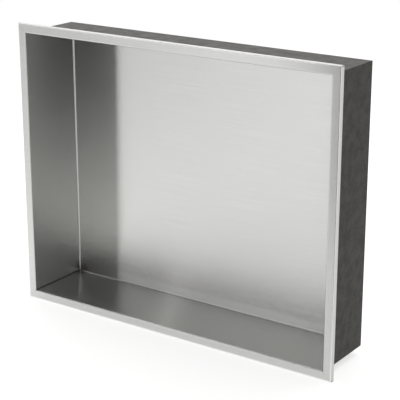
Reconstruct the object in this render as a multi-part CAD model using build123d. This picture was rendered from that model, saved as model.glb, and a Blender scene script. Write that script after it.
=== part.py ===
from build123d import *
import os

# A shower niche insert: one stainless steel pan that slips into a hole in a tiled wall.
# The pan is folded from one cross-shaped sheet. Its back and four walls are left whole,
# its corners are welded and ground flush, and a narrow flange with a folded-back edge
# frames the opening and covers the cut tiles.
#
# It stands as it hangs in the wall: X is its width, +Y runs into the wall and +Z is up.
# The origin is the centre of the wall opening, in the surface of the finished wall, where
# the folded-back edge of the flange comes to rest.

# Driving dimensions, in millimetres
overall_width = 508.0         # over the flange
overall_height = 406.4        # over the flange
niche_depth = 101.6           # front of the flange to the inside of the back
flange_width = 12.7           # edge of the opening to the outside of the flange
edge_depth = 6.35             # how far the flange's outer edge is folded back
sheet = 1.2                   # thickness of the steel sheet
back_bend_radius = 2.0        # inside radius of the bends round the back
flange_bend_radius = 0.5      # inside radius of the bends round the opening
edge_bend_radius = 0.5        # inside radius of the bends round the flange's outer edge
back_border = 12.0            # flat border of the back that is drawn with each wall

# Places that follow from them
opening_width = overall_width - 2 * flange_width
opening_height = overall_height - 2 * flange_width
flange_front = -edge_depth


def visible_face_line():
    """The line that the sheet's show side follows, from the back out to the folded edge.

    It is drawn flat: across is the distance outwards from the edge of the opening, and up
    is the distance back from the front of the flange.
    """
    back_start = (-back_bend_radius - back_border, niche_depth)
    back_corner = (0, niche_depth)
    opening_edge = (0, 0)
    flange_edge = (flange_width, 0)
    folded_edge_end = (flange_width, edge_depth)
    bend_radii = (back_bend_radius, flange_bend_radius + sheet, edge_bend_radius + sheet)
    return FilletPolyline(
        back_start,
        back_corner,
        opening_edge,
        flange_edge,
        folded_edge_end,
        radius=bend_radii,
    )


def folded_section():
    """The cut sheet: the show side's line thickened towards the wall cavity."""
    outline = offset(visible_face_line(), amount=sheet, side=Side.LEFT, closed=True)
    return make_face(outline)


def opening_outline():
    """The edge of the opening, from its top left corner round to the same corner."""
    right = opening_width / 2
    top = opening_height / 2
    corners = ((-right, top), (right, top), (right, -top), (-right, -top), (-right, top))
    return Polyline([(x, flange_front, z) for x, z in corners])


def folded_sides():
    """Four walls with their bends, flange and folded edge, mitred and welded at the corners."""
    top_left = Plane(
        origin=opening_outline() @ 0,
        x_dir=(0, 0, 1),
        z_dir=(-1, 0, 0),
    )
    return sweep(
        top_left * folded_section(),
        path=opening_outline(),
        transition=Transition.RIGHT,
    )


def back_panel():
    """The flat back inside the borders that the folded sides carry."""
    margin = back_bend_radius + back_border / 2
    panel = Box(
        opening_width - 2 * margin,
        sheet,
        opening_height - 2 * margin,
        align=(Align.CENTER, Align.MIN, Align.CENTER),
    )
    return Pos(0, flange_front + niche_depth, 0) * panel


def niche_pan():
    """The whole pan, one piece of sheet."""
    return folded_sides() + back_panel()


os.makedirs("parts", exist_ok=True)
export_step(niche_pan(), "parts/niche_pan.step")
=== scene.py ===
import math
import bmesh
import bpy
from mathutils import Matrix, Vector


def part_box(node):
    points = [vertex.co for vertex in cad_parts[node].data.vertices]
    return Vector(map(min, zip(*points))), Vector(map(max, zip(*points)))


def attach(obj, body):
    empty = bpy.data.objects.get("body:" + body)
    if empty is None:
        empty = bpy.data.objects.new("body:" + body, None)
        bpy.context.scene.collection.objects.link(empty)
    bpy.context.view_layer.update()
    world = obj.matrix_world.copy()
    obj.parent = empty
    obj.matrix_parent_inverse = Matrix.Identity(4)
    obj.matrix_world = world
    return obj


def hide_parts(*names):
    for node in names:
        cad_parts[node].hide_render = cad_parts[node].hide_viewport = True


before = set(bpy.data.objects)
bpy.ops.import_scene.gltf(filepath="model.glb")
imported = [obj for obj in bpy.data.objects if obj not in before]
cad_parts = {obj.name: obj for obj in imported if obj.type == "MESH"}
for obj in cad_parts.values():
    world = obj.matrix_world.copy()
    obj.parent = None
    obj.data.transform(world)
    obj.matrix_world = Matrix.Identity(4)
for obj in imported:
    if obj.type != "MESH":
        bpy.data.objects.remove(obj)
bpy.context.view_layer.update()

# The niche pan is one stainless sheet, cut as a cross and folded into a back, four walls, a
# slim flange and the flange's folded-back edge. Its corners are welded and ground flush. It
# is slid into a cut-out in a tiled wall, and the flange's folded edge is bedded on the tiles.
pan_low, pan_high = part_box("niche_pan")
sheet = 0.0012
flange_width = 0.0127
edge_depth = 0.00635
back_bend_radius = 0.002
flange_bend_radius = 0.0005
edge_bend_radius = 0.0005
back_border = 0.012
steps_along_a_wall = 24
steps_in_a_bend = 10
opening_half_width = pan_high.x - flange_width
opening_half_height = pan_high.z - flange_width
flange_front = pan_low.y
niche_depth = pan_high.y - sheet - flange_front
back_front = flange_front + niche_depth
outer_bend_radius = edge_bend_radius + sheet
blank_map = "blank"
weld_gap = 0.00001
quarter_turn = math.pi / 2
section_sizes = [
    ("Niche Depth", "NodeSocketFloat"),
    ("Flange Width", "NodeSocketFloat"),
    ("Edge Depth", "NodeSocketFloat"),
    ("Back Border", "NodeSocketFloat"),
    ("Back Bend", "NodeSocketFloat"),
    ("Flange Bend", "NodeSocketFloat"),
    ("Edge Bend", "NodeSocketFloat"),
    ("Bend Steps", "NodeSocketInt"),
]


def add_node(tree, kind, inputs=None, **settings):
    """Adds one node with its settings, and links or sets each input that is given."""
    made = tree.nodes.new(kind)
    for name, value in settings.items():
        setattr(made, name, value)
    for name, value in (inputs or {}).items():
        socket = made.inputs[name]
        if isinstance(value, bpy.types.NodeSocket):
            tree.links.new(value, socket)
        else:
            socket.default_value = value
    return made


def new_geometry_tree(name, sockets):
    """A geometry tree with the given inputs, one geometry output and its two end nodes."""
    tree = bpy.data.node_groups.new(name, "GeometryNodeTree")
    for label, kind in sockets:
        tree.interface.new_socket(label, in_out="INPUT", socket_type=kind)
    tree.interface.new_socket("Geometry", in_out="OUTPUT", socket_type="NodeSocketGeometry")
    given = tree.nodes.new("NodeGroupInput").outputs
    result = tree.nodes.new("NodeGroupOutput").inputs["Geometry"]
    return tree, given, result


def value_by_index(tree, kind, values):
    """A field that gives point 0 the first value, point 1 the second, and so on."""
    index = tree.nodes.new("GeometryNodeInputIndex").outputs["Index"]
    switch = add_node(tree, "GeometryNodeIndexSwitch", data_type=kind)
    while len(switch.index_switch_items) < len(values):
        switch.index_switch_items.new()
    tree.links.new(index, switch.inputs["Index"])
    for position, value in enumerate(values):
        socket = switch.inputs[str(position)]
        if isinstance(value, bpy.types.NodeSocket):
            tree.links.new(value, socket)
        else:
            socket.default_value = value
    return switch.outputs["Output"]


def sheet_section_tree():
    """The line of the show side, from the flat border of the back out to the folded edge.

    X is the distance outwards from the edge of the opening, and Y the depth from the front.
    """
    tree, given, result = new_geometry_tree("sheet_section", section_sizes)
    border_start = 0.0
    for size in ("Back Border", "Back Bend"):
        border_start = add_node(
            tree, "ShaderNodeMath", {0: border_start, 1: given[size]}, operation="SUBTRACT"
        ).outputs[0]
    corners = [
        {"X": border_start, "Y": given["Niche Depth"]},
        {"Y": given["Niche Depth"]},
        {},
        {"X": given["Flange Width"]},
        {"X": given["Flange Width"], "Y": given["Edge Depth"]},
    ]
    places = [
        add_node(tree, "ShaderNodeCombineXYZ", place).outputs["Vector"] for place in corners
    ]
    radii = [0.0, given["Back Bend"], given["Flange Bend"], given["Edge Bend"], 0.0]
    line = add_node(tree, "GeometryNodeMeshLine", {"Count": len(corners)})
    placed = add_node(
        tree,
        "GeometryNodeSetPosition",
        {
            "Geometry": line.outputs["Mesh"],
            "Position": value_by_index(tree, "VECTOR", places),
        },
    )
    curve = add_node(tree, "GeometryNodeMeshToCurve", {"Mesh": placed.outputs["Geometry"]})
    bent = add_node(
        tree,
        "GeometryNodeFilletCurve",
        {
            "Curve": curve.outputs["Curve"],
            "Count": given["Bend Steps"],
            "Radius": value_by_index(tree, "FLOAT", radii),
        },
        mode="POLY",
    )
    tree.links.new(bent.outputs["Curve"], result)
    return tree


def wing_tree():
    """One wall with its bends and flange: the section drawn along it, mitred at both ends.

    It starts as a grid that runs from -1 to 1 along the wall, with a row for each point of the
    section. A row further outwards is drawn longer, which gives the mitres. The map named
    after the blank holds where each point lay in the flat sheet, so that the grain runs
    through the bends as it does in folded stock.
    """
    tree, given, result = new_geometry_tree(
        "folded_wing",
        [
            ("Section", "NodeSocketGeometry"),
            ("Half Length", "NodeSocketFloat"),
            ("Half Span", "NodeSocketFloat"),
            ("Turn", "NodeSocketFloat"),
            ("Steps", "NodeSocketInt"),
        ],
    )
    rows = add_node(
        tree,
        "GeometryNodeAttributeDomainSize",
        {"Geometry": given["Section"]},
        component="CURVE",
    ).outputs["Point Count"]
    gaps = add_node(tree, "ShaderNodeMath", {0: rows, 1: 1.0}, operation="SUBTRACT")
    columns = add_node(tree, "ShaderNodeMath", {0: given["Steps"], 1: 1.0}, operation="ADD")
    grid = add_node(
        tree,
        "GeometryNodeMeshGrid",
        {
            "Size X": 2.0,
            "Size Y": gaps.outputs[0],
            "Vertices X": columns.outputs[0],
            "Vertices Y": rows,
        },
    )
    position = tree.nodes.new("GeometryNodeInputPosition").outputs["Position"]
    on_grid = add_node(tree, "ShaderNodeSeparateXYZ", {"Vector": position})
    half_gaps = add_node(
        tree, "ShaderNodeMath", {0: gaps.outputs[0], 1: 2.0}, operation="DIVIDE"
    )
    raised = add_node(
        tree,
        "ShaderNodeMath",
        {0: on_grid.outputs["Y"], 1: half_gaps.outputs[0]},
        operation="ADD",
    )
    row = add_node(
        tree, "FunctionNodeFloatToInt", {"Float": raised.outputs[0]}, rounding_mode="ROUND"
    ).outputs["Integer"]
    along_line = tree.nodes.new("GeometryNodeSplineParameter").outputs["Length"]
    point_here, first_point, length_here = (
        add_node(
            tree,
            "GeometryNodeSampleIndex",
            {"Geometry": given["Section"], "Value": value, "Index": index},
            data_type=kind,
            domain="POINT",
        ).outputs["Value"]
        for kind, value, index in (
            ("FLOAT_VECTOR", position, row),
            ("FLOAT_VECTOR", position, 0),
            ("FLOAT", along_line, row),
        )
    )
    here = add_node(tree, "ShaderNodeSeparateXYZ", {"Vector": point_here})
    first = add_node(tree, "ShaderNodeSeparateXYZ", {"Vector": first_point})
    reach, outwards, flat_start = (
        add_node(
            tree, "ShaderNodeMath", {0: given[size], 1: point.outputs["X"]}, operation="ADD"
        ).outputs[0]
        for size, point in (("Half Length", here), ("Half Span", here), ("Half Span", first))
    )
    along = add_node(
        tree, "ShaderNodeMath", {0: reach, 1: on_grid.outputs["X"]}, operation="MULTIPLY"
    ).outputs[0]
    flat_out = add_node(
        tree, "ShaderNodeMath", {0: flat_start, 1: length_here}, operation="ADD"
    ).outputs[0]

    def turned(x, y, z):
        """A point of the top wing, turned about the depth axis to this wing's side."""
        point = add_node(tree, "ShaderNodeCombineXYZ", {"X": x, "Y": y, "Z": z})
        return add_node(
            tree,
            "ShaderNodeVectorRotate",
            {"Vector": point.outputs["Vector"], "Angle": given["Turn"]},
            rotation_type="Y_AXIS",
        ).outputs["Vector"]

    flat = add_node(tree, "ShaderNodeSeparateXYZ", {"Vector": turned(along, 0.0, flat_out)})
    in_blank = add_node(
        tree, "ShaderNodeCombineXYZ", {"X": flat.outputs["X"], "Y": flat.outputs["Z"]}
    )
    mapped = add_node(
        tree,
        "GeometryNodeStoreNamedAttribute",
        {
            "Geometry": grid.outputs["Mesh"],
            "Name": blank_map,
            "Value": in_blank.outputs["Vector"],
        },
        data_type="FLOAT2",
        domain="CORNER",
    )
    folded = add_node(
        tree,
        "GeometryNodeSetPosition",
        {
            "Geometry": mapped.outputs["Geometry"],
            "Position": turned(along, here.outputs["Y"], outwards),
        },
    )
    tree.links.new(folded.outputs["Geometry"], result)
    return tree


def folded_pan_tree():
    """The show side of the whole pan: four wings round the flat middle of the back."""
    own_inputs = [
        ("Half Width", "NodeSocketFloat"),
        ("Half Height", "NodeSocketFloat"),
        ("Flange Front", "NodeSocketFloat"),
        ("Wall Steps", "NodeSocketInt"),
        ("Finish", "NodeSocketMaterial"),
    ]
    tree, given, result = new_geometry_tree("folded_pan", section_sizes + own_inputs)
    section = add_node(
        tree,
        "GeometryNodeGroup",
        {label: given[label] for label, kind in section_sizes},
        node_tree=sheet_section_tree(),
    )
    margin = add_node(
        tree,
        "ShaderNodeMath",
        {0: given["Back Bend"], 1: given["Back Border"]},
        operation="ADD",
    ).outputs[0]

    def across_the_middle(half):
        """The width or height of the back's flat middle."""
        inner = add_node(tree, "ShaderNodeMath", {0: half, 1: margin}, operation="SUBTRACT")
        return add_node(
            tree, "ShaderNodeMath", {0: inner.outputs[0], 1: 2.0}, operation="MULTIPLY"
        ).outputs[0]

    columns = add_node(
        tree, "ShaderNodeMath", {0: given["Wall Steps"], 1: 1.0}, operation="ADD"
    ).outputs[0]
    middle = add_node(
        tree,
        "GeometryNodeMeshGrid",
        {
            "Size X": across_the_middle(given["Half Width"]),
            "Size Y": across_the_middle(given["Half Height"]),
            "Vertices X": columns,
            "Vertices Y": columns,
        },
    )
    position = tree.nodes.new("GeometryNodeInputPosition").outputs["Position"]
    middle_mapped = add_node(
        tree,
        "GeometryNodeStoreNamedAttribute",
        {"Geometry": middle.outputs["Mesh"], "Name": blank_map, "Value": position},
        data_type="FLOAT2",
        domain="CORNER",
    )
    flat = add_node(tree, "ShaderNodeSeparateXYZ", {"Vector": position})
    upright = add_node(
        tree,
        "ShaderNodeCombineXYZ",
        {"X": flat.outputs["X"], "Y": given["Niche Depth"], "Z": flat.outputs["Y"]},
    )
    middle_placed = add_node(
        tree,
        "GeometryNodeSetPosition",
        {
            "Geometry": middle_mapped.outputs["Geometry"],
            "Position": upright.outputs["Vector"],
        },
    )
    joined = tree.nodes.new("GeometryNodeJoinGeometry")
    tree.links.new(middle_placed.outputs["Geometry"], joined.inputs["Geometry"])
    wing = wing_tree()
    half_sizes = ("Half Width", "Half Height")
    for turns in range(4):
        placed = add_node(
            tree,
            "GeometryNodeGroup",
            {
                "Section": section.outputs["Geometry"],
                "Half Length": given[half_sizes[turns % 2]],
                "Half Span": given[half_sizes[(turns + 1) % 2]],
                "Turn": turns * quarter_turn,
                "Steps": given["Wall Steps"],
            },
            node_tree=wing,
        )
        tree.links.new(placed.outputs["Geometry"], joined.inputs["Geometry"])
    welded = add_node(
        tree,
        "GeometryNodeMergeByDistance",
        {"Geometry": joined.outputs["Geometry"], "Distance": weld_gap},
    )
    shift = add_node(tree, "ShaderNodeCombineXYZ", {"Y": given["Flange Front"]})
    in_wall = add_node(
        tree,
        "GeometryNodeTransform",
        {"Geometry": welded.outputs["Geometry"], "Translation": shift.outputs["Vector"]},
    )
    real = add_node(
        tree, "GeometryNodeRealizeInstances", {"Geometry": in_wall.outputs["Geometry"]}
    )
    finished = add_node(
        tree,
        "GeometryNodeSetMaterial",
        {"Geometry": real.outputs["Geometry"], "Material": given["Finish"]},
    )
    tree.links.new(finished.outputs["Geometry"], result)
    return tree


def set_modifier_inputs(modifier, values):
    """Gives a geometry tree its sizes, each by the identifier of its socket."""
    for item in modifier.node_group.interface.items_tree:
        if item.item_type == "SOCKET" and item.in_out == "INPUT":
            modifier[item.identifier] = values[item.name]


def apply_modifiers(piece):
    """Turns what a piece's modifiers make into its own plain mesh."""
    bpy.context.view_layer.update()
    seen = piece.evaluated_get(bpy.context.evaluated_depsgraph_get())
    mesh = bpy.data.meshes.new_from_object(seen)
    piece.modifiers.clear()
    piece.data = mesh
    mesh.name = piece.name


def face_the_room(mesh):
    """Turns every face of the show side the same way, towards the open front."""
    shape = bmesh.new()
    shape.from_mesh(mesh)
    bmesh.ops.recalc_face_normals(shape, faces=shape.faces)
    back = max(shape.faces, key=lambda face: face.calc_center_median().y)
    if back.normal.y > 0:
        bmesh.ops.reverse_faces(shape, faces=shape.faces)
    shape.to_mesh(mesh)
    shape.free()


# The sheet's show side is brushed stainless: lines ground along the length of the blank
# before it was folded. They blur every reflection up and down and leave it sharp sideways.
brushed_hex = "#D3D3D1"
fine_groove = 0.00002
fine_groove_length = 0.004
fine_groove_slope = 0.75
fine_groove_detail = 1.0
# The longer grit lines are about 0.1 mm wide on the real sheet, which is too fine to show, so
# they are drawn 1.6 mm wide.
coarse_groove = 0.0016
coarse_groove_length = 0.12
coarse_groove_slope = 0.011
coarse_groove_detail = 3.0
line_dark_below = 0.3
line_light_above = 0.7
line_dark = 0.965
line_light = 1.02
wave_length = 0.16
wave_height = 0.00004
wave_detail = 1.0
heat_hex = "#B9A68E"
heat_reach = 0.005
heat_share = 0.08
# Along the welds the sheet is darker: a thin dark mitre line on the flange, and in the inside
# corners a dark weld line with painted shade of the tight corner on top.
seam_reach = 0.0018
seam_on_flange = 0.03
seam_inside_painted_shade = 0.75
seam_change_depth = 2 * sheet
ease_reach = 0.016
ease_height = 0.0005
# Painted highlight: the flange's outer bend is paler, and the folded edge beyond it a little
# paler. The outer bend is also rougher.
rubbed_roughness = 0.48
edge_highlight_gain = 1.5
edge_highlight_blend = 0.00025
folded_edge_highlight_gain = 1.05
folded_edge_from = 0.0008
folded_edge_to = 0.0003
# Painted shade: a small dark spot round each corner of the back, where three bends meet.
corner_reach = 0.022
corner_painted_shade = 0.5
# Painted shade: the sheet is darker along the bends round the back.
bend_reach = 0.0035
bend_painted_shade = 0.14
sheet_roughness = 0.18
sheet_anisotropy = 1.0
across_the_lines = 0.25


def linear(hex_colour):
    """A linear colour from its sRGB hex value."""
    def channel(text):
        value = int(text, 16) / 255
        return value / 12.92 if value <= 0.04045 else ((value + 0.055) / 1.055) ** 2.4
    return [channel(hex_colour[start:start + 2]) for start in (1, 3, 5)] + [1.0]


def new_material(name):
    """An empty material with its tree and its output's surface socket."""
    material = bpy.data.materials.new(name)
    material.use_nodes = True
    tree = material.node_tree
    tree.nodes.clear()
    surface = tree.nodes.new("ShaderNodeOutputMaterial").inputs["Surface"]
    return material, tree, surface


def stretched_noise(tree, vector, per_metre, detail):
    """Noise whose cells are as long and as wide as the two rates say."""
    scaled = add_node(
        tree, "ShaderNodeVectorMath", {0: vector, 1: per_metre}, operation="MULTIPLY"
    )
    noise = add_node(
        tree,
        "ShaderNodeTexNoise",
        {"Vector": scaled.outputs["Vector"], "Scale": 1.0, "Detail": detail},
        noise_dimensions="3D",
    )
    return noise.outputs["Fac"]


def seam_distance(tree, place):
    """How far a point is from the nearest weld. The back has none, so it counts as 1 m off."""
    away = add_node(tree, "ShaderNodeVectorMath", {0: place}, operation="ABSOLUTE")
    parts = add_node(tree, "ShaderNodeSeparateXYZ", {"Vector": away.outputs["Vector"]})
    past_side, past_top = (
        add_node(
            tree, "ShaderNodeMath", {0: parts.outputs[axis], 1: half_size}, operation="SUBTRACT"
        ).outputs[0]
        for axis, half_size in (("X", opening_half_width), ("Z", opening_half_height))
    )
    apart = add_node(
        tree, "ShaderNodeMath", {0: past_side, 1: past_top}, operation="SUBTRACT"
    )
    distance = add_node(
        tree, "ShaderNodeMath", {0: apart.outputs[0]}, operation="ABSOLUTE"
    )
    depth = add_node(tree, "ShaderNodeSeparateXYZ", {"Vector": place}).outputs["Y"]
    on_the_back = add_node(
        tree,
        "ShaderNodeMath",
        {0: depth, 1: back_front - back_bend_radius / 2},
        operation="GREATER_THAN",
    )
    return add_node(
        tree,
        "ShaderNodeMath",
        {0: distance.outputs[0], 1: on_the_back.outputs[0]},
        operation="ADD",
    ).outputs[0]


def bend_distance(tree, place, axis, half_size):
    """How far a point is from the bends that the back has at both ends of one axis."""
    parts = add_node(tree, "ShaderNodeSeparateXYZ", {"Vector": place})
    from_back = add_node(
        tree, "ShaderNodeMath", {0: back_front, 1: parts.outputs["Y"]}, operation="SUBTRACT"
    )
    out = add_node(tree, "ShaderNodeMath", {0: parts.outputs[axis]}, operation="ABSOLUTE")
    from_wall = add_node(
        tree, "ShaderNodeMath", {0: half_size, 1: out.outputs[0]}, operation="SUBTRACT"
    )
    return add_node(
        tree,
        "ShaderNodeMath",
        {0: from_back.outputs[0], 1: from_wall.outputs[0]},
        operation="MAXIMUM",
    ).outputs[0]


def corner_distance(tree, place):
    """How far a point is from the nearest corner of the back, where three bends meet."""
    away = add_node(tree, "ShaderNodeVectorMath", {0: place}, operation="ABSOLUTE")
    corner = (opening_half_width, back_front, opening_half_height)
    return add_node(
        tree,
        "ShaderNodeVectorMath",
        {0: away.outputs["Vector"], 1: corner},
        operation="DISTANCE",
    ).outputs["Value"]


def rim_distance(tree, place):
    """How far a point is inside the outside of the flange."""
    away = add_node(tree, "ShaderNodeVectorMath", {0: place}, operation="ABSOLUTE")
    parts = add_node(tree, "ShaderNodeSeparateXYZ", {"Vector": away.outputs["Vector"]})
    from_side, from_top = (
        add_node(
            tree, "ShaderNodeMath", {0: rim, 1: parts.outputs[axis]}, operation="SUBTRACT"
        ).outputs[0]
        for axis, rim in (("X", pan_high.x), ("Z", pan_high.z))
    )
    return add_node(
        tree, "ShaderNodeMath", {0: from_side, 1: from_top}, operation="MINIMUM"
    ).outputs[0]


def brushed_stainless():
    """Brushed stainless sheet: a neutral, slightly warm grey with long fine lines.

    Each line is a shallow groove whose side leans up or down. The leaning sides give the
    soft upright streaks of light, and the bends catch it as thin bright lines. The welds keep
    a thin dull line and a breath of straw tint. In the inside corners that line is deepened
    with painted shade, and each corner of the back has a small spot of painted shade. The
    bends round the back are a little darker with painted shade, and the sheet eases gently
    into the level ones. A painted highlight makes the flange's outer bend paler, and the
    folded edge beyond it a little paler. The outer bend is also rougher.
    """
    material, tree, surface = new_material("brushed_stainless_sheet")
    blank = add_node(tree, "ShaderNodeUVMap", uv_map=blank_map).outputs["UV"]
    place = tree.nodes.new("ShaderNodeTexCoord").outputs["Object"]
    fine = stretched_noise(
        tree, blank, (1 / fine_groove_length, 1 / fine_groove, 1), fine_groove_detail
    )
    coarse = stretched_noise(
        tree, blank, (1 / coarse_groove_length, 1 / coarse_groove, 1), coarse_groove_detail
    )
    tone = add_node(
        tree,
        "ShaderNodeMapRange",
        {
            "Value": coarse,
            "From Min": line_dark_below,
            "From Max": line_light_above,
            "To Min": line_dark,
            "To Max": line_light,
        },
    ).outputs["Result"]
    # Weld line darkness, deepened in the inside corners by painted shade.
    seam = seam_distance(tree, place)
    seam_darkness_and_painted_shade = add_node(
        tree,
        "ShaderNodeMapRange",
        {
            "Value": add_node(tree, "ShaderNodeSeparateXYZ", {"Vector": place}).outputs["Y"],
            "From Min": flange_front,
            "From Max": flange_front + seam_change_depth,
            "To Min": 1 - seam_on_flange,
            "To Max": 1 - seam_inside_painted_shade,
        },
    ).outputs["Result"]
    from_level_bend = bend_distance(tree, place, "Z", opening_half_height)
    from_upright_bend = bend_distance(tree, place, "X", opening_half_width)
    from_bend = add_node(
        tree, "ShaderNodeMath", {0: from_level_bend, 1: from_upright_bend}, operation="MINIMUM"
    ).outputs[0]
    heat, weld_line_and_painted_shade, painted_corner_shade, painted_bend_shade, rise = (
        add_node(
            tree,
            "ShaderNodeMapRange",
            {"Value": distance, "From Max": reach, "To Min": close_by, "To Max": beyond},
            interpolation_type="SMOOTHSTEP",
        ).outputs["Result"]
        for distance, reach, close_by, beyond in (
            (seam, heat_reach, heat_share, 0.0),
            (seam, seam_reach, seam_darkness_and_painted_shade, 1.0),
            (corner_distance(tree, place), corner_reach, 1 - corner_painted_shade, 1.0),
            (from_bend, bend_reach, 1 - bend_painted_shade, 1.0),
            (from_level_bend, ease_reach, 1.0, 0.0),
        )
    )
    from_rim = rim_distance(tree, place)
    edge_highlight_lift, folded_edge_highlight_drop, roughness = (
        add_node(
            tree,
            "ShaderNodeMapRange",
            {
                "Value": from_rim,
                "From Min": inner,
                "From Max": outer,
                "To Min": at_inner,
                "To Max": at_outer,
            },
        ).outputs["Result"]
        for inner, outer, at_inner, at_outer in (
            (
                outer_bend_radius + edge_highlight_blend,
                outer_bend_radius - edge_highlight_blend,
                1.0,
                edge_highlight_gain,
            ),
            (folded_edge_from, folded_edge_to, 0.0, edge_highlight_gain - folded_edge_highlight_gain),
            (outer_bend_radius, 0.0, sheet_roughness, rubbed_roughness),
        )
    )
    # Painted highlight along the flange's outer bend and its folded edge.
    painted_edge_highlight = add_node(
        tree, "ShaderNodeMath", {0: edge_highlight_lift, 1: folded_edge_highlight_drop}, operation="SUBTRACT"
    ).outputs[0]
    tinted = add_node(
        tree,
        "ShaderNodeMix",
        {"Factor": heat, "A": linear(brushed_hex), "B": linear(heat_hex)},
        data_type="RGBA",
    )
    shade = tone
    for mark in (weld_line_and_painted_shade, painted_edge_highlight, painted_corner_shade, painted_bend_shade):
        shade = add_node(
            tree, "ShaderNodeMath", {0: shade, 1: mark}, operation="MULTIPLY"
        ).outputs[0]
    colour = add_node(
        tree,
        "ShaderNodeVectorMath",
        {0: tinted.outputs["Result"], "Scale": shade},
        operation="SCALE",
    ).outputs["Vector"]
    waves = stretched_noise(tree, place, (1 / wave_length,) * 3, wave_detail)
    wavy = add_node(
        tree,
        "ShaderNodeBump",
        {"Strength": 1.0, "Distance": wave_height, "Height": waves},
    ).outputs["Normal"]
    eased = add_node(
        tree,
        "ShaderNodeBump",
        {"Strength": 1.0, "Distance": ease_height, "Height": rise, "Normal": wavy},
    ).outputs["Normal"]
    grain = add_node(
        tree, "ShaderNodeTangent", direction_type="UV_MAP", uv_map=blank_map
    ).outputs["Tangent"]
    across = add_node(
        tree, "ShaderNodeVectorMath", {0: eased, 1: grain}, operation="CROSS_PRODUCT"
    ).outputs["Vector"]
    lean_fine, lean_coarse = (
        add_node(
            tree,
            "ShaderNodeMapRange",
            {"Value": groove, "To Min": -slope / 2, "To Max": slope / 2},
        ).outputs["Result"]
        for groove, slope in ((fine, fine_groove_slope), (coarse, coarse_groove_slope))
    )
    lean = add_node(
        tree, "ShaderNodeMath", {0: lean_fine, 1: lean_coarse}, operation="ADD"
    ).outputs[0]
    tilt = add_node(
        tree, "ShaderNodeVectorMath", {0: across, "Scale": lean}, operation="SCALE"
    ).outputs["Vector"]
    tilted = add_node(
        tree, "ShaderNodeVectorMath", {0: eased, 1: tilt}, operation="ADD"
    ).outputs["Vector"]
    grooved = add_node(
        tree, "ShaderNodeVectorMath", {0: tilted}, operation="NORMALIZE"
    ).outputs["Vector"]
    shader = add_node(
        tree,
        "ShaderNodeBsdfPrincipled",
        {
            "Base Color": colour,
            "Metallic": 1.0,
            "Roughness": roughness,
            "Anisotropic": sheet_anisotropy,
            "Anisotropic Rotation": across_the_lines,
            "Normal": grooved,
            "Tangent": grain,
        },
    )
    tree.links.new(shader.outputs["BSDF"], surface)
    return material


steel = brushed_stainless()

# The outside of the body, which the wall hides, has a sprayed matt coating, dark grey and
# slightly mottled. It stops at the back of the flange, which stays bare steel.
coating_hex = "#706F6C"
coating_dark_hex = "#585755"
coating_roughness = 0.85
mottle = 0.016
mottle_detail = 3.0
mottle_fine = 0.0035
mottle_fine_detail = 2.0
mottle_fine_share = 0.5
mottle_dark_below = 0.575
mottle_light_above = 0.925
orange_peel = 0.0014
orange_peel_detail = 2.0
orange_peel_height = 0.00012
orange_peel_strength = 0.35


def sprayed_coating():
    """Sprayed matt coating: it takes the light softly, with cloudy spots and orange peel."""
    material, tree, surface = new_material("sprayed_matt_coating")
    place = tree.nodes.new("ShaderNodeTexCoord").outputs["Object"]
    clouds, spots, peel = (
        stretched_noise(tree, place, (1 / size,) * 3, detail)
        for size, detail in (
            (mottle, mottle_detail),
            (mottle_fine, mottle_fine_detail),
            (orange_peel, orange_peel_detail),
        )
    )
    both = add_node(
        tree,
        "ShaderNodeMath",
        {0: spots, 1: mottle_fine_share, 2: clouds},
        operation="MULTIPLY_ADD",
    )
    share = add_node(
        tree,
        "ShaderNodeMapRange",
        {
            "Value": both.outputs[0],
            "From Min": mottle_dark_below,
            "From Max": mottle_light_above,
        },
    )
    colour = add_node(
        tree,
        "ShaderNodeMix",
        {
            "Factor": share.outputs["Result"],
            "A": linear(coating_dark_hex),
            "B": linear(coating_hex),
        },
        data_type="RGBA",
    )
    rough_spray = add_node(
        tree,
        "ShaderNodeBump",
        {"Strength": orange_peel_strength, "Distance": orange_peel_height, "Height": peel},
    )
    shader = add_node(
        tree,
        "ShaderNodeBsdfPrincipled",
        {
            "Base Color": colour.outputs["Result"],
            "Roughness": coating_roughness,
            "Normal": rough_spray.outputs["Normal"],
        },
    )
    tree.links.new(shader.outputs["BSDF"], surface)
    return material


coating = sprayed_coating()

# The pan itself: the folded show side comes first, and then the sheet's thickness behind it.
# The coating covers the back of the sheet, except behind the flange and its folded edge.
pan = bpy.data.objects.new("niche_pan_sheet", bpy.data.meshes.new("niche_pan_sheet"))
bpy.context.scene.collection.objects.link(pan)
fold = pan.modifiers.new("fold", "NODES")
fold.node_group = folded_pan_tree()
set_modifier_inputs(
    fold,
    {
        "Niche Depth": niche_depth,
        "Flange Width": flange_width,
        "Edge Depth": edge_depth,
        "Back Border": back_border,
        "Back Bend": back_bend_radius,
        "Flange Bend": flange_bend_radius + sheet,
        "Edge Bend": outer_bend_radius,
        "Bend Steps": steps_in_a_bend,
        "Half Width": opening_half_width,
        "Half Height": opening_half_height,
        "Flange Front": flange_front,
        "Wall Steps": steps_along_a_wall,
        "Finish": steel,
    },
)
apply_modifiers(pan)
face_the_room(pan.data)
pan.data.materials.clear()
pan.data.materials.append(steel)
pan.data.materials.append(coating)
thickness = pan.modifiers.new("thickness", "SOLIDIFY")
thickness.thickness = sheet
thickness.offset = -1.0
thickness.use_even_offset = True
thickness.use_quality_normals = True
thickness.material_offset = 1
thickness.material_offset_rim = 0
apply_modifiers(pan)
body_half_width = opening_half_width + sheet
body_half_height = opening_half_height + sheet
sheet_clearance = 0.00005
for face in pan.data.polygons:
    beside = abs(face.center.x) > body_half_width + sheet_clearance
    above = abs(face.center.z) > body_half_height + sheet_clearance
    if face.material_index == 1 and (beside or above):
        face.material_index = 0
    face.use_smooth = True
sharp_angle = math.radians(30)
pan.data.set_sharp_from_angle(angle=sharp_angle)
shading = pan.modifiers.new("shading", "WEIGHTED_NORMAL")
shading.keep_sharp = True
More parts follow.
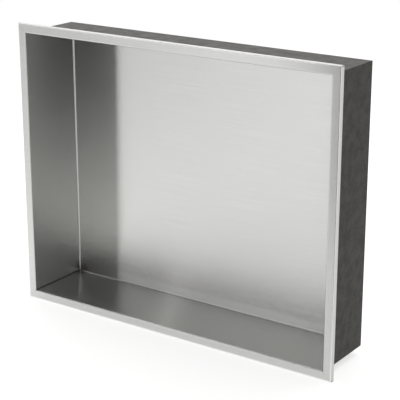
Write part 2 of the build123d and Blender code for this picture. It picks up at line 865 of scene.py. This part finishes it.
apply_modifiers(pan)
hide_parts("niche_pan")
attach(pan, "root")

# The floor is a wide matt white board. The niche stands on it on the flange's lower edge. It
# takes the soft shadow, and further out it turns the same white as the backdrop.
floor_half = 6.0
floor_hex = "#E6E6E5"
floor_glow = 0.72
# What the steel mirrors of the floor is painted light: a pale ring round the niche, with
# painted shade close to the niche and towards the left.
mirrored_glow_near = 0.625
mirrored_glow_middle = 0.83
mirrored_glow_far = 0.76
mirrored_reach_near = 0.2
mirrored_reach_middle = 0.6
mirrored_reach_far = 1.0
mirrored_left_start = -0.2
mirrored_left_full = -0.55
mirrored_left_gain = 0.89
shadow_reach = 1.0
fade_reach = 2.5


def seen_or_mirrored(tree):
    """One for rays from the camera or off metal and glass, none for the light on things."""
    path = tree.nodes.new("ShaderNodeLightPath")
    first = add_node(
        tree,
        "ShaderNodeMath",
        {0: path.outputs["Is Camera Ray"], 1: path.outputs["Is Glossy Ray"]},
        operation="ADD",
    )
    return add_node(
        tree,
        "ShaderNodeMath",
        {0: first.outputs[0], 1: path.outputs["Is Transmission Ray"]},
        operation="ADD",
        use_clamp=True,
    ).outputs[0]


def pale_floor():
    """Matt white board: pale and even, and pure white where it meets the backdrop.

    In the steel it shows painted light: a soft pale ring round the niche, with painted shade
    close to the niche and a little on the left.
    """
    material, tree, surface = new_material("matt_white_board")
    place = tree.nodes.new("ShaderNodeTexCoord").outputs["Object"]
    reach = add_node(
        tree, "ShaderNodeVectorMath", {0: place}, operation="LENGTH"
    ).outputs["Value"]
    rightwards = add_node(tree, "ShaderNodeSeparateXYZ", {"Vector": place}).outputs["X"]
    far, rising, falling, painted_left_shade = (
        add_node(
            tree,
            "ShaderNodeMapRange",
            {
                "Value": distance,
                "From Min": start,
                "From Max": end,
                "To Min": at_start,
                "To Max": at_end,
            },
            interpolation_type="SMOOTHSTEP",
        ).outputs["Result"]
        for distance, start, end, at_start, at_end in (
            (reach, shadow_reach, fade_reach, 0.0, 1.0),
            (
                reach,
                mirrored_reach_near,
                mirrored_reach_middle,
                mirrored_glow_near,
                mirrored_glow_middle,
            ),
            (
                reach,
                mirrored_reach_middle,
                mirrored_reach_far,
                0.0,
                mirrored_glow_middle - mirrored_glow_far,
            ),
            (rightwards, mirrored_left_full, mirrored_left_start, mirrored_left_gain, 1.0),
        )
    )
    painted_light_ring = add_node(
        tree, "ShaderNodeMath", {0: rising, 1: falling}, operation="SUBTRACT"
    ).outputs[0]
    mirrored = add_node(
        tree, "ShaderNodeMath", {0: painted_light_ring, 1: painted_left_shade}, operation="MULTIPLY"
    ).outputs[0]
    path = tree.nodes.new("ShaderNodeLightPath")
    either_glow = add_node(
        tree,
        "ShaderNodeMix",
        {"Factor": path.outputs["Is Camera Ray"], "A": mirrored, "B": floor_glow},
        data_type="FLOAT",
    ).outputs["Result"]
    glow = add_node(
        tree,
        "ShaderNodeMath",
        {0: seen_or_mirrored(tree), 1: either_glow},
        operation="MULTIPLY",
    )
    matt = add_node(tree, "ShaderNodeBsdfDiffuse", {"Color": linear(floor_hex)})
    near_light = add_node(tree, "ShaderNodeEmission", {"Strength": glow.outputs[0]})
    near = add_node(
        tree,
        "ShaderNodeAddShader",
        {0: matt.outputs["BSDF"], 1: near_light.outputs["Emission"]},
    )
    white = add_node(tree, "ShaderNodeEmission", {"Strength": seen_or_mirrored(tree)})
    whole = add_node(
        tree,
        "ShaderNodeMixShader",
        {"Fac": far, 1: near.outputs["Shader"], 2: white.outputs["Emission"]},
    )
    tree.links.new(whole.outputs["Shader"], surface)
    return material


def flat_sheets(name, sheets):
    """One object of flat sheets, each given by its four corners and its material."""
    mesh = bpy.data.meshes.new(name)
    corners = [corner for four, material in sheets for corner in four]
    faces = [range(4 * index, 4 * index + 4) for index in range(len(sheets))]
    mesh.from_pydata(corners, [], faces)
    for index, (four, material) in enumerate(sheets):
        mesh.materials.append(material)
        mesh.polygons[index].material_index = index
    made = bpy.data.objects.new(name, mesh)
    bpy.context.scene.collection.objects.link(made)
    return made


floor_corners = [
    (-floor_half, -floor_half, pan_low.z),
    (floor_half, -floor_half, pan_low.z),
    (floor_half, floor_half, pan_low.z),
    (-floor_half, floor_half, pan_low.z),
]
floor = flat_sheets("floor", [(floor_corners, pale_floor())])

# A dark felt board stands in front of the niche on the right, where the camera doesn't see
# it. A dark cloth laid at its foot is a painted shadow of the board on the floor. They are
# what the left wall mirrors, and their soft edges shade the right end of the flange.
board_front = -0.44
board_left = -0.14
board_full_left = 0.19
board_full_right = 0.24
board_right = 0.58
board_top = 0.75
board_hex = "#434342"
# The cloth at the board's foot is a painted shadow of the board on the floor.
foot_front = -0.1
foot_full_front = -0.28
foot_left = 0.1
foot_full_left = 0.24
foot_rise = 0.002


def dark_felt(name, left_end, full_left):
    """Dark grey felt that thins out to nothing towards its sides and its front."""
    material, tree, surface = new_material(name)
    place = tree.nodes.new("ShaderNodeTexCoord").outputs["Object"]
    parts = add_node(tree, "ShaderNodeSeparateXYZ", {"Vector": place})
    cover = 1.0
    for axis, clear_at, full_at in (
        ("X", left_end, full_left),
        ("X", board_right, board_full_right),
        ("Y", foot_front, foot_full_front),
    ):
        share = add_node(
            tree,
            "ShaderNodeMapRange",
            {"Value": parts.outputs[axis], "From Min": clear_at, "From Max": full_at},
            interpolation_type="SMOOTHSTEP",
        )
        cover = add_node(
            tree, "ShaderNodeMath", {0: share.outputs["Result"], 1: cover}, operation="MULTIPLY"
        ).outputs[0]
    felt = add_node(tree, "ShaderNodeBsdfDiffuse", {"Color": linear(board_hex)})
    clear = tree.nodes.new("ShaderNodeBsdfTransparent")
    whole = add_node(
        tree,
        "ShaderNodeMixShader",
        {"Fac": cover, 1: clear.outputs["BSDF"], 2: felt.outputs["BSDF"]},
    )
    tree.links.new(whole.outputs["Shader"], surface)
    return material


board_corners = [
    (board_left, board_front, pan_low.z),
    (board_right, board_front, pan_low.z),
    (board_right, board_front, board_top),
    (board_left, board_front, board_top),
]
foot_height = pan_low.z + foot_rise
foot_corners = [
    (board_left, board_front, foot_height),
    (board_right, board_front, foot_height),
    (board_right, foot_front, foot_height),
    (board_left, foot_front, foot_height),
]
board = flat_sheets(
    "dark_board",
    [
        (board_corners, dark_felt("dark_felt_board", board_left, board_full_left)),
        (foot_corners, dark_felt("painted_board_shadow_cloth", foot_left, foot_full_left)),
    ],
)
board.visible_camera = False
board.visible_diffuse = False
board.visible_shadow = False

# A tall curtain hangs across the studio, in front of the niche and beyond the camera.
# Painted light makes it glow white low down and dark high up, as if lit from its foot.
# That is what the niche's floor and the bend behind it mirror.
curtain_front = -1.7
curtain_left = -4.0
curtain_right = 2.5
curtain_top = 3.4
curtain_hex = "#5A5A59"
curtain_white = 0.92
curtain_white_height = -0.05
curtain_grey = 0.43
curtain_grey_height = 0.85
curtain_dark = 0.06
curtain_dark_height = 1.7
curtain_left_end = -1.9
curtain_right_end = -0.8
curtain_left_gain = 0.9
curtain_right_gain = 1.32
curtain_foot_left_gain = 0.76


def lit_curtain():
    """Plain cloth whose light falls off with height and towards the left."""
    material, tree, surface = new_material("grey_curtain_cloth")
    place = tree.nodes.new("ShaderNodeTexCoord").outputs["Object"]
    parts = add_node(tree, "ShaderNodeSeparateXYZ", {"Vector": place})
    sides = (curtain_left_end, curtain_right_end)
    foot, across, high = (
        add_node(
            tree,
            "ShaderNodeMapRange",
            {
                "Value": parts.outputs[axis],
                "From Min": start,
                "From Max": end,
                "To Min": at_start,
                "To Max": at_end,
            },
            interpolation_type="SMOOTHSTEP",
        ).outputs["Result"]
        for axis, start, end, at_start, at_end in (
            ("X", *sides, curtain_white * curtain_foot_left_gain, curtain_white),
            ("X", *sides, curtain_left_gain, curtain_right_gain),
            ("Z", curtain_grey_height, curtain_dark_height, 0.0, 1.0),
        )
    )
    low = add_node(
        tree,
        "ShaderNodeMapRange",
        {
            "Value": parts.outputs["Z"],
            "From Min": curtain_white_height,
            "From Max": curtain_grey_height,
            "To Min": foot,
            "To Max": curtain_grey,
        },
        interpolation_type="SMOOTHSTEP",
    ).outputs["Result"]
    painted_fall_of_light = add_node(
        tree,
        "ShaderNodeMix",
        {"Factor": high, "A": low, "B": curtain_dark},
        data_type="FLOAT",
    ).outputs["Result"]
    painted_cloth_light = add_node(
        tree, "ShaderNodeMath", {0: painted_fall_of_light, 1: across}, operation="MULTIPLY"
    ).outputs[0]
    glow = add_node(
        tree,
        "ShaderNodeMath",
        {0: seen_or_mirrored(tree), 1: painted_cloth_light},
        operation="MULTIPLY",
    )
    cloth = add_node(tree, "ShaderNodeBsdfDiffuse", {"Color": linear(curtain_hex)})
    light = add_node(tree, "ShaderNodeEmission", {"Strength": glow.outputs[0]})
    whole = add_node(
        tree,
        "ShaderNodeAddShader",
        {0: cloth.outputs["BSDF"], 1: light.outputs["Emission"]},
    )
    tree.links.new(whole.outputs["Shader"], surface)
    return material


curtain_corners = [
    (curtain_left, curtain_front, pan_low.z),
    (curtain_right, curtain_front, pan_low.z),
    (curtain_right, curtain_front, curtain_top),
    (curtain_left, curtain_front, curtain_top),
]
curtain = flat_sheets("grey_curtain", [(curtain_corners, lit_curtain())])
curtain.visible_camera = False

# A narrow strip light leans in over the front on the left, with its long side along strip_up
# and its short side along strip_side. It shows only in reflections: the grooves of the
# niche's floor draw it out into one soft pale streak.
strip_middle = (-1.15, -1.05, 1.01)
strip_length = 0.8
strip_width = 0.016
strip_glow = 2.7
strip_up = (0.0, 0.707, 0.707)
strip_side = (-0.836, 0.387, -0.387)
strip_light, strip_tree, strip_surface = new_material("strip_light")
strip_shine = add_node(strip_tree, "ShaderNodeEmission", {"Strength": strip_glow})
strip_tree.links.new(strip_shine.outputs["Emission"], strip_surface)
strip_corners = [
    [
        middle + up * along * strip_length / 2 + side * across * strip_width / 2
        for middle, up, side in zip(strip_middle, strip_up, strip_side)
    ]
    for along, across in ((-1, -1), (-1, 1), (1, 1), (1, -1))
]
strip = flat_sheets("strip_light", [(strip_corners, strip_light)])
strip.visible_camera = False
strip.visible_diffuse = False
strip.visible_shadow = False

# One wide softbox hangs level above the niche, a little behind it and to its left. It is the
# only lamp that lights the object and the floor.
lamp_place = (-0.55, 0.9, 1.55)
lamp_width = 3.5
lamp_depth = 2.7
lamp_watts = 37.0
lamp_data = bpy.data.lights.new("overhead_softbox", "AREA")
lamp_data.shape = "RECTANGLE"
lamp_data.size = lamp_width
lamp_data.size_y = lamp_depth
lamp_data.energy = lamp_watts
lamp = bpy.data.objects.new("overhead_softbox", lamp_data)
lamp.location = lamp_place
bpy.context.scene.collection.objects.link(lamp)

# The backdrop is plain white where it is seen or mirrored. Its own light on the object is
# faint, and keeps the coated sides from going black.
backdrop_hex = "#FFFFFF"
backdrop_white = 1.0
backdrop_light = 0.15
world = bpy.data.worlds.new("studio")
bpy.context.scene.world = world
world.use_nodes = True
world.node_tree.nodes.clear()
faint, white = (
    add_node(
        world.node_tree,
        "ShaderNodeBackground",
        {"Color": linear(backdrop_hex), "Strength": strength},
    ).outputs["Background"]
    for strength in (backdrop_light, backdrop_white)
)
either = add_node(
    world.node_tree,
    "ShaderNodeMixShader",
    {"Fac": seen_or_mirrored(world.node_tree), 1: faint, 2: white},
)
world_output = world.node_tree.nodes.new("ShaderNodeOutputWorld")
world.node_tree.links.new(either.outputs["Shader"], world_output.inputs["Surface"])

# The camera looks at the niche from the right, from above and in front, at the photograph's
# angle and distance. Its focal length is given in pixels of the 400 pixel wide picture.
photo_width = 400
focal_pixels = 1276.0
sensor_width = 36.0
camera_place = (0.9531, -1.3024, 0.5092)
camera_yaw = math.radians(34.79)
camera_pitch = math.radians(17.8)
camera_data = bpy.data.cameras.new("camera")
camera_data.sensor_width = sensor_width
camera_data.lens = sensor_width * focal_pixels / photo_width
camera = bpy.data.objects.new("camera", camera_data)
camera.location = camera_place
camera.rotation_euler = (quarter_turn - camera_pitch, 0, camera_yaw)
bpy.context.scene.collection.objects.link(camera)
bpy.context.scene.camera = camera
bpy.context.scene.view_settings.view_transform = "Standard"
